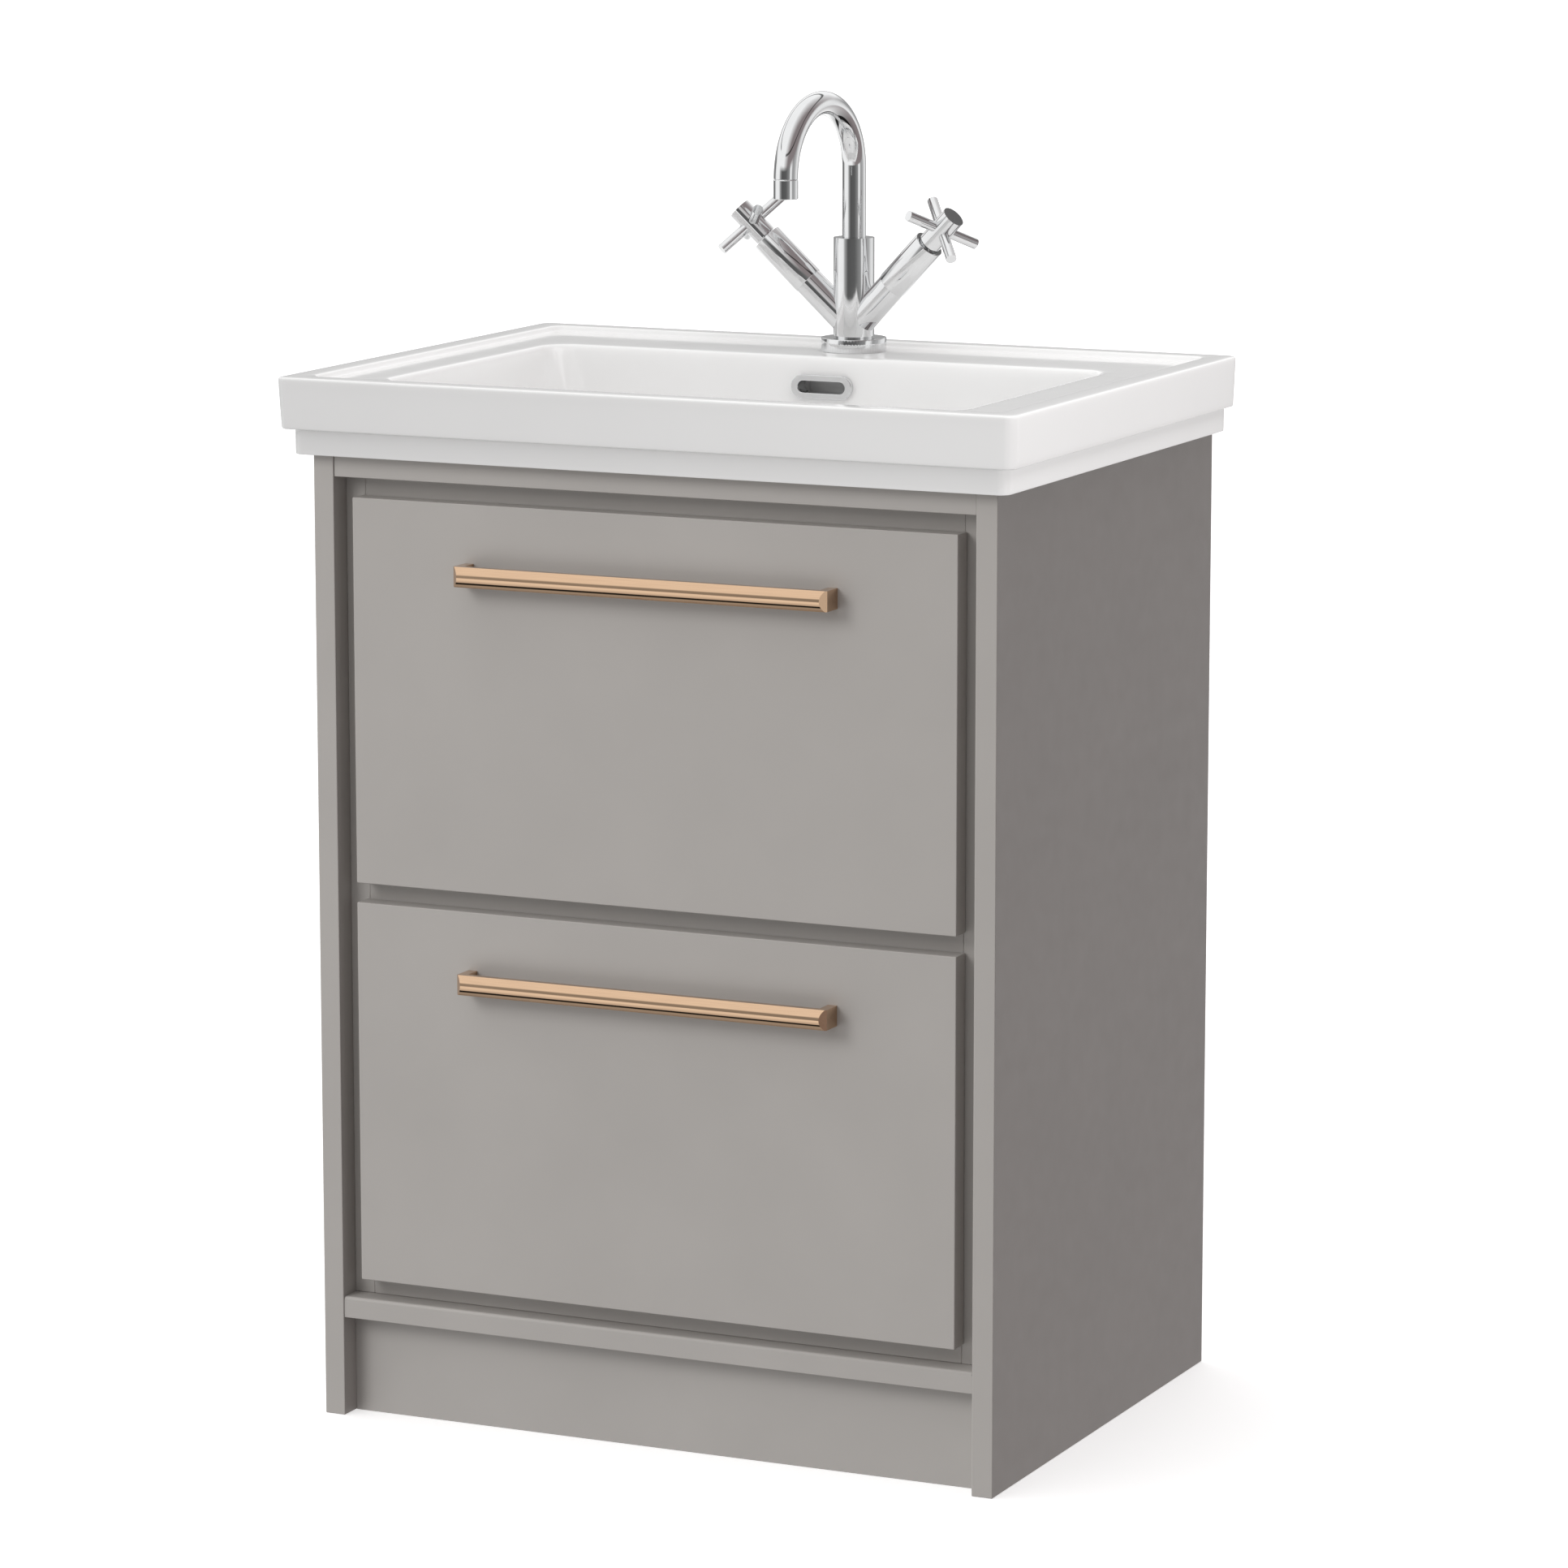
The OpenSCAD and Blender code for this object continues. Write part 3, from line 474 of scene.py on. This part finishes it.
def basin_sections():
    """The basin's closed profile as plan sections: up the outside, over the rim, back below."""
    half, front, back = BASIN_HI.x, BASIN_LO.y, BASIN_HI.y
    foot = (half - 10 * MM, front + 10 * MM, back, 9.5 * MM)
    low_band = (half - 2 * MM, front + 2 * MM, back, 9 * MM)
    rim = (half, front, back, 10 * MM)
    rim_in = (half - 23 * MM, front + 23 * MM, back - 23 * MM, 10 * MM)
    bowl = (half - 70 * MM, front + 53 * MM, back - 119 * MM, 22 * MM)
    wall = (bowl[0] - 12 * MM, bowl[1] + 30 * MM, bowl[2] - 12 * MM, 44 * MM)
    floor_edge = (wall[0] - 50 * MM, wall[1] + 25 * MM, wall[2] - 25 * MM, 66 * MM)
    void = (280 * MM, -177.5 * MM, 219.5 * MM, 8 * MM)
    wall_z, ceiling_z = DECK_Z - 75 * MM, DECK_Z - 12 * MM
    under_z = FLOOR_Z - 9 * MM

    def outwards(section, by, z):
        grown = inset(section, -by, z)
        return (grown[0], max(grown[1], void[1] + 1.5 * MM), min(grown[2], void[2]), *grown[3:])

    def disc(radius, z):
        return (radius, WASTE_Y - radius, WASTE_Y + radius, radius, z)

    def between(a, b, share, z):
        return (*[u + (v - u) * share for u, v in zip(a[:4], b[:4])], z)

    return [
        # the foot's outside, and the small cove under the band
        inset(foot, 1.2 * MM, FOOT_Z),
        inset(foot, 0.2 * MM, FOOT_Z + 0.2 * MM),
        inset(foot, 0, FOOT_Z + 1.4 * MM),
        inset(foot, 0, STEP_Z - 2.2 * MM),
        inset(foot, -0.3 * MM, STEP_Z - 0.7 * MM),
        inset(foot, -1.4 * MM, STEP_Z),
        # the band, flaring up to the rim
        inset(low_band, 1.6 * MM, STEP_Z),
        inset(low_band, 0.3 * MM, STEP_Z + 0.3 * MM),
        inset(low_band, 0, STEP_Z + 1.6 * MM),
        inset(rim, 0, RIM_Z - 3.6 * MM),
        inset(rim, 0.35 * MM, RIM_Z - 1.2 * MM),
        inset(rim, 1.2 * MM, RIM_Z - 0.35 * MM),
        inset(rim, 3.6 * MM, RIM_Z),
        # the rim's inner edge and the cove down to the deck
        inset(rim_in, -2.8 * MM, RIM_Z),
        inset(rim_in, -0.8 * MM, RIM_Z - 0.5 * MM),
        inset(rim_in, 0.6 * MM, RIM_Z - 2.2 * MM),
        inset(rim_in, 2.6 * MM, DECK_Z + 0.5 * MM),
        inset(rim_in, 6.5 * MM, DECK_Z),
        # the bowl: its edge, its wall, the cove and the floor
        inset(bowl, -6 * MM, DECK_Z),
        inset(bowl, -2.6 * MM, DECK_Z - 0.35 * MM),
        inset(bowl, -0.6 * MM, DECK_Z - 2.4 * MM),
        between(bowl, wall, 0.085, DECK_Z - 6.5 * MM),
        between(bowl, wall, 0.5, (DECK_Z + wall_z) / 2),
        between(bowl, wall, 0.95, wall_z + 3 * MM),
        between(wall, floor_edge, 0.12, wall_z - 11 * MM),
        between(wall, floor_edge, 0.42, FLOOR_Z + 13 * MM),
        between(wall, floor_edge, 0.85, FLOOR_Z + 5 * MM),
        between(floor_edge, disc(60 * MM, 0), 0.5, FLOOR_Z + 2.6 * MM),
        disc(62 * MM, FLOOR_Z + 1.6 * MM),
        disc(36 * MM, FLOOR_Z + 0.9 * MM),
        # the waste hole and the boss round it
        disc(32.6 * MM, FLOOR_Z + 0.1 * MM),
        disc(30 * MM, FLOOR_Z - 0.1 * MM),
        disc(23 * MM, FLOOR_Z - 0.1 * MM),
        disc(WASTE_HOLE_R, FLOOR_Z - 1 * MM),
        disc(WASTE_HOLE_R, BOSS_Z + 1 * MM),
        disc(23.4 * MM, BOSS_Z),
        disc(33.5 * MM, BOSS_Z),
        disc(BOSS_R, BOSS_Z + 1.5 * MM),
        disc(BOSS_R + 0.5 * MM, under_z - 3 * MM),
        disc(BOSS_R + 4 * MM, under_z),
        # the bowl's outside, and the hollow under the rim
        outwards(floor_edge, 5 * MM, under_z),
        outwards(floor_edge, 11 * MM, under_z + 3 * MM),
        outwards(wall, 9 * MM, wall_z),
        outwards(bowl, 8 * MM, ceiling_z - 4 * MM),
        outwards(bowl, 11 * MM, ceiling_z),
        inset(void, 4 * MM, ceiling_z),
        inset(void, 0, ceiling_z - 4 * MM),
        inset(void, 0, FOOT_Z + 1.5 * MM),
        inset(void, -1.5 * MM, FOOT_Z),
    ]


def slot_mesh(length, height, front, back, z):
    """A stadium-shaped bar along Y, centred on x = 0, for cutting slots."""
    bm = bmesh.new()
    flat = (length - height) / 2
    steps = 16
    rings = []
    for y in (front, back):
        ring = []
        for side in (1, -1):
            for i in range(steps + 1):
                a = side * math.pi / 2 - side * math.pi * i / steps
                x = side * (flat + height / 2 * math.cos(a))
                ring.append(Vector((x, y, z + side * height / 2 * math.sin(side * a))))
        rings.append(ring)
    rows = loft(bm, rings)
    for row in rows:
        bm.faces.new(row)
    return bm


def basin():
    """The ceramic basin, with the tap hole and the overflow's seat."""
    bm = bmesh.new()
    loft(bm, [rounded(*section) for section in basin_sections()], closed=True)
    bmesh.ops.remove_doubles(bm, verts=bm.verts, dist=0.001 * MM)
    obj = piece("ceramic_basin", bm, "ceramic", "cabinet", replaces=["basin"], smooth_angle=180)
    smooth = obj.modifiers.new("smooth", "SUBSURF")
    smooth.levels = smooth.render_levels = 2
    bake(obj)
    tap_lo, tap_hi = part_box("tap_flange")
    tap_y = (tap_lo.y + tap_hi.y) / 2
    seat_lo, seat_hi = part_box("overflow_ring")
    seat_z = (seat_lo.z + seat_hi.z) / 2
    seat_y = seat_lo.y + RING_SEAT_DEPTH
    aside = 0.03 * MM  # keeps the hole's corners off the basin's middle line
    tap_hole = rod_mesh(
        (aside, tap_y, DECK_Z - 20 * MM), (aside, tap_y, RIM_Z), TAP_HOLE_R, segments=62
    )
    seat = slot_mesh(*OVERFLOW_SEAT, seat_lo.y - 20 * MM, seat_y, seat_z)
    tube = slot_mesh(*OVERFLOW_TUBE, seat_y - 1 * MM, seat_y + OVERFLOW_TUBE_LENGTH, seat_z)
    cut(obj, tap_hole, seat, tube)
    obj.data.set_sharp_from_angle(angle=math.radians(40))


def overflow_duct():
    """The ceramic duct from the overflow down to a channel that meets the waste boss."""
    box = box_mesh((-DUCT_X, DUCT_FRONT, DUCT_FOOT), (DUCT_X, DUCT_BACK, DUCT_TOP), DUCT_EDGE)
    duct = piece("overflow_duct", box, "ceramic", "cabinet")
    hollow_x = DUCT_X - DUCT_WALL
    hollow = box_mesh(
        (-hollow_x, DUCT_FRONT - 1 * MM, DUCT_FOOT + DUCT_WALL),
        (hollow_x, DUCT_BACK - DUCT_WALL, DUCT_HOLLOW_TOP),
    )
    cut(duct, hollow)
    channel = box_mesh(
        (-CHANNEL_X, CHANNEL_START, DUCT_FOOT),
        (CHANNEL_X, DUCT_FRONT + 1 * MM, CHANNEL_TOP),
        DUCT_EDGE,
    )
    cut(duct, channel, operation="UNION")
    duct.data.set_sharp_from_angle(angle=math.radians(35))


basin()
overflow_duct()

# ---- Waste and overflow trims ----

for node in ("overflow_ring", "waste_body", "waste_plug"):
    eased(node, 0.5 * MM, segments=2)

# ---- Tap ----


def swept_tube(bm, path, outer, inner, segments=48):
    """A tube swept along a path in the y-z plane at x = 0."""
    rings_out, rings_in = [], []
    for i, point in enumerate(path):
        ahead = path[min(i + 1, len(path) - 1)]
        behind = path[max(i - 1, 0)]
        tangent = (ahead - behind).normalized()
        side = Vector((1, 0, 0))
        up = side.cross(tangent).normalized()
        for radius, rings in ((outer, rings_out), (inner, rings_in)):
            ring = []
            for k in range(segments):
                a = 2 * math.pi * k / segments
                ring.append(point + side * radius * math.cos(a) + up * radius * math.sin(a))
            rings.append(ring)
    loft(bm, rings_out + rings_in[::-1], closed=True)


SPOUT_R = 10 * MM
SPOUT_WALL = 1.5 * MM
BEND_Z = 1012.5 * MM  # where the straight leg ends and the bend starts


def spout():
    """The swan-neck tube: a straight leg and an oval bend, with a separate outlet sleeve."""
    lo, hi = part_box("spout")
    tap_y = hi.y - SPOUT_R
    outlet_y = lo.y + SPOUT_R
    half_reach = (tap_y - outlet_y) / 2
    centre = Vector((0, (tap_y + outlet_y) / 2, BEND_Z))
    rise = hi.z - SPOUT_R - BEND_Z
    leg_steps, bend_steps = 8, 72
    path = [
        Vector((0, tap_y, lo.z + (BEND_Z - lo.z) * i / leg_steps)) for i in range(leg_steps)
    ]
    for i in range(bend_steps + 1):
        a = math.pi * i / bend_steps
        path.append(centre + Vector((0, half_reach * math.cos(a), rise * math.sin(a))))
    bm = bmesh.new()
    swept_tube(bm, path, SPOUT_R, SPOUT_R - SPOUT_WALL)
    piece("spout_tube", bm, "chrome", "spout_swivel", replaces=["spout"])

    foot_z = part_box("aerator")[0].z
    top_z = BEND_Z - 0.6 * MM
    outer = SPOUT_R + 0.2 * MM  # the sleeve stands just proud of the tube
    sleeve = [
        (SPOUT_R - 1.2 * MM, top_z + 0.6 * MM),
        (SPOUT_R - 1.0 * MM, top_z),
        (outer - 0.3 * MM, top_z),
        (outer, top_z - 0.4 * MM),
        (outer, foot_z + 0.5 * MM),
        (outer - 0.4 * MM, foot_z),
        (outer - 1.6 * MM, foot_z),
        (outer - 2.0 * MM, foot_z + 0.5 * MM),
        (outer - 2.0 * MM, foot_z + 2.5 * MM),
        (0.2 * MM, foot_z + 2.0 * MM),
    ]
    bm = bmesh.new()
    rows = turned(bm, sleeve, (0, outlet_y, 0), (0, 0, 1))
    bm.faces.new(rows[-1])
    bm.faces.new(rows[0])
    piece("outlet_sleeve", bm, "chrome", "spout_swivel", replaces=["aerator"])


spout()

for node in ("tap_flange", "hot_sleeve", "cold_sleeve"):
    eased(node, 0.4 * MM, segments=3)

# ---- Stage, light and camera ----


def floor():
    """A large pale floor that fills the view and leaves the object's own light alone."""
    bm = bmesh.new()
    bmesh.ops.create_grid(bm, x_segments=8, y_segments=8, size=60)
    mesh = bpy.data.meshes.new("floor")
    bm.to_mesh(mesh)
    bm.free()
    obj = bpy.data.objects.new("floor", mesh)
    SCENE.collection.objects.link(obj)
    n = Nodes("floor_white")
    n.finish(
        n.ramp(n.noise(0.5), (0.93, 0.93, 0.93), (0.94, 0.94, 0.94)),
        n.spread(n.noise(3), 0.75, 0.85),
        n.relief(n.noise(30), 0.0002, strength=0.05),
    )
    n.shader.inputs["Emission Color"].default_value = (1, 1, 1, 1)
    n.shader.inputs["Emission Strength"].default_value = 0.5
    obj.data.materials.append(n.material)
    obj.visible_diffuse = obj.visible_glossy = obj.visible_shadow = False


def area_light(name, place, target, size, power):
    """A square soft light of that power in watts, turned from its place to a target."""
    light = bpy.data.lights.new(name, "AREA")
    light.energy = power
    light.shape = "RECTANGLE"
    light.size = size
    light.size_y = size
    obj = bpy.data.objects.new(name, light)
    SCENE.collection.objects.link(obj)
    obj.location = place
    obj.rotation_euler = (Vector(target) - Vector(place)).to_track_quat("-Z", "Y").to_euler()
    return obj


def ramp_of(tree, source, stops):
    """A colour ramp through (position, grey) or (position, colour) stops."""
    node = tree.nodes.new("ShaderNodeValToRGB")
    elements = node.color_ramp.elements
    while len(elements) < len(stops):
        elements.new(0.5)
    for element, (position, value) in zip(elements, stops):
        element.position = position
        element.color = (*value, 1) if isinstance(value, tuple) else (value, value, value, 1)
    tree.links.new(source, node.inputs["Fac"])
    return node.outputs["Color"]


def mixed(tree, kind, factor, first, second):
    """Two colours mixed or multiplied, by a factor that is a number or a socket."""
    node = tree.nodes.new("ShaderNodeMix")
    node.data_type = "RGBA"
    node.blend_type = kind
    sockets = (node.inputs[0], node.inputs[6], node.inputs[7])  # factor and the two colours
    for value, socket in zip((factor, first, second), sockets):
        if isinstance(value, float):
            socket.default_value = value
        else:
            tree.links.new(value, socket)
    return node.outputs[2]


def studio_world():
    """Soft surround, brighter at the left, with the dim panels that chrome shows as streaks.

    height runs from 0 straight down to 1 straight up, with the horizon at 0.5. turn runs round
    from the left at 0, over the front at 0.25 and the right at 0.5, to the back at 0.75.
    """
    world = bpy.data.worlds.new("studio")
    world.use_nodes = True
    tree = world.node_tree
    direction = tree.nodes.new("ShaderNodeTexCoord").outputs["Generated"]
    axes = tree.nodes.new("ShaderNodeSeparateXYZ")
    tree.links.new(direction, axes.inputs[0])
    height = tree.nodes.new("ShaderNodeMapRange")
    height.inputs["From Min"].default_value = -1
    tree.links.new(axes.outputs["Z"], height.inputs["Value"])
    turn = tree.nodes.new("ShaderNodeTexGradient")
    turn.gradient_type = "RADIAL"
    tree.links.new(direction, turn.inputs["Vector"])

    sides = ramp_of(tree, axes.outputs["X"], [(0.0, 1.0), (0.6, (0.26, 0.226, 0.228))])
    panels = ramp_of(
        tree,
        turn.outputs["Fac"],
        [
            (0.00, 0.55),
            (0.05, 1.00),
            (0.14, 0.95),
            (0.17, 0.40),
            (0.22, 0.10),
            (0.33, 0.12),
            (0.42, 0.30),
            (0.44, 0.95),
            (0.47, 0.90),
            (0.50, 0.35),
            (0.57, 0.45),
            (0.62, 0.80),
            (0.68, 0.90),
            (0.72, 0.35),
            (0.78, 0.32),
            (0.93, 0.36),
            (0.97, 0.15),
        ],
    )
    # the panels only stand in a belt round the horizon
    belt = ramp_of(
        tree, height.outputs["Result"], [(0.40, 0.0), (0.415, 1.0), (0.57, 1.0), (0.64, 0.0)]
    )
    # a dark line below, and one above that stays out of the front, where the handles face
    low = ramp_of(
        tree,
        height.outputs["Result"],
        [(0.075, 0.4), (0.09, 0.02), (0.145, 0.02), (0.16, 0.6), (0.30, 1.0)],
    )
    high = ramp_of(
        tree,
        height.outputs["Result"],
        [(0.75, 1.0), (0.76, 0.2), (0.78, 0.2), (0.79, 1.0)],
    )
    aside = ramp_of(
        tree, turn.outputs["Fac"], [(0.08, 1.0), (0.11, 0.0), (0.26, 0.0), (0.29, 1.0)]
    )
    surround = mixed(tree, "MIX", belt, sides, panels)
    surround = mixed(tree, "MULTIPLY", 1.0, surround, low)
    surround = mixed(tree, "MULTIPLY", aside, surround, high)
    background = tree.nodes["Background"]
    tree.links.new(surround, background.inputs["Color"])
    background.inputs["Strength"].default_value = 1.15
    SCENE.world = world


floor()
studio_world()
SCENE.view_settings.view_transform = "Standard"


def only_on(light, pieces):
    """Limits a light to some of the pieces, the way flags do in a studio."""
    lit = bpy.data.collections.new(light.name + "_receivers")
    for obj in pieces:
        lit.objects.link(obj)
    light.light_linking.receiver_collection = lit


def lights():
    """The key light on the furniture, and two soft lights on the basin."""
    basin_piece = bpy.data.objects["ceramic_basin"]
    shown = [obj for obj in SCENE.objects if obj.type == "MESH" and obj.name != "floor"]
    key = area_light("key", (-2.2, -4.0, 3.0), target=(0, 0, 0.45), size=2.0, power=85)
    key.visible_glossy = False
    only_on(key, [obj for obj in shown if obj != basin_piece])
    top = area_light("top", (1.2, -0.3, 2.6), target=(0, 0, 0.8), size=1.6, power=19)
    only_on(top, [basin_piece])
    side = area_light("side", (2.6, -0.9, 0.5), target=(0, 0, 0.83), size=1.6, power=28)
    side.visible_glossy = False
    only_on(side, [basin_piece])


lights()

# Fitted to the cabinet's straight edges in the photograph.
CAMERA_PLACE = (2.19288, -4.67727, 1.42845)
CAMERA_DOWN = 0.1739  # radians below level
CAMERA_TURN = 0.4343  # radians about Z, from looking along +Y
CAMERA_LENS = 145.85  # millimetres
CAMERA_SHIFT = (-0.0037, -0.0033)


def photo_camera():
    """The camera at the photograph's viewing angle."""
    camera = bpy.data.objects.new("camera", bpy.data.cameras.new("camera"))
    SCENE.collection.objects.link(camera)
    camera.location = CAMERA_PLACE
    camera.rotation_euler = (math.pi / 2 - CAMERA_DOWN, 0, CAMERA_TURN)
    camera.data.lens = CAMERA_LENS
    camera.data.sensor_width = 36
    camera.data.shift_x, camera.data.shift_y = CAMERA_SHIFT
    SCENE.camera = camera


photo_camera()
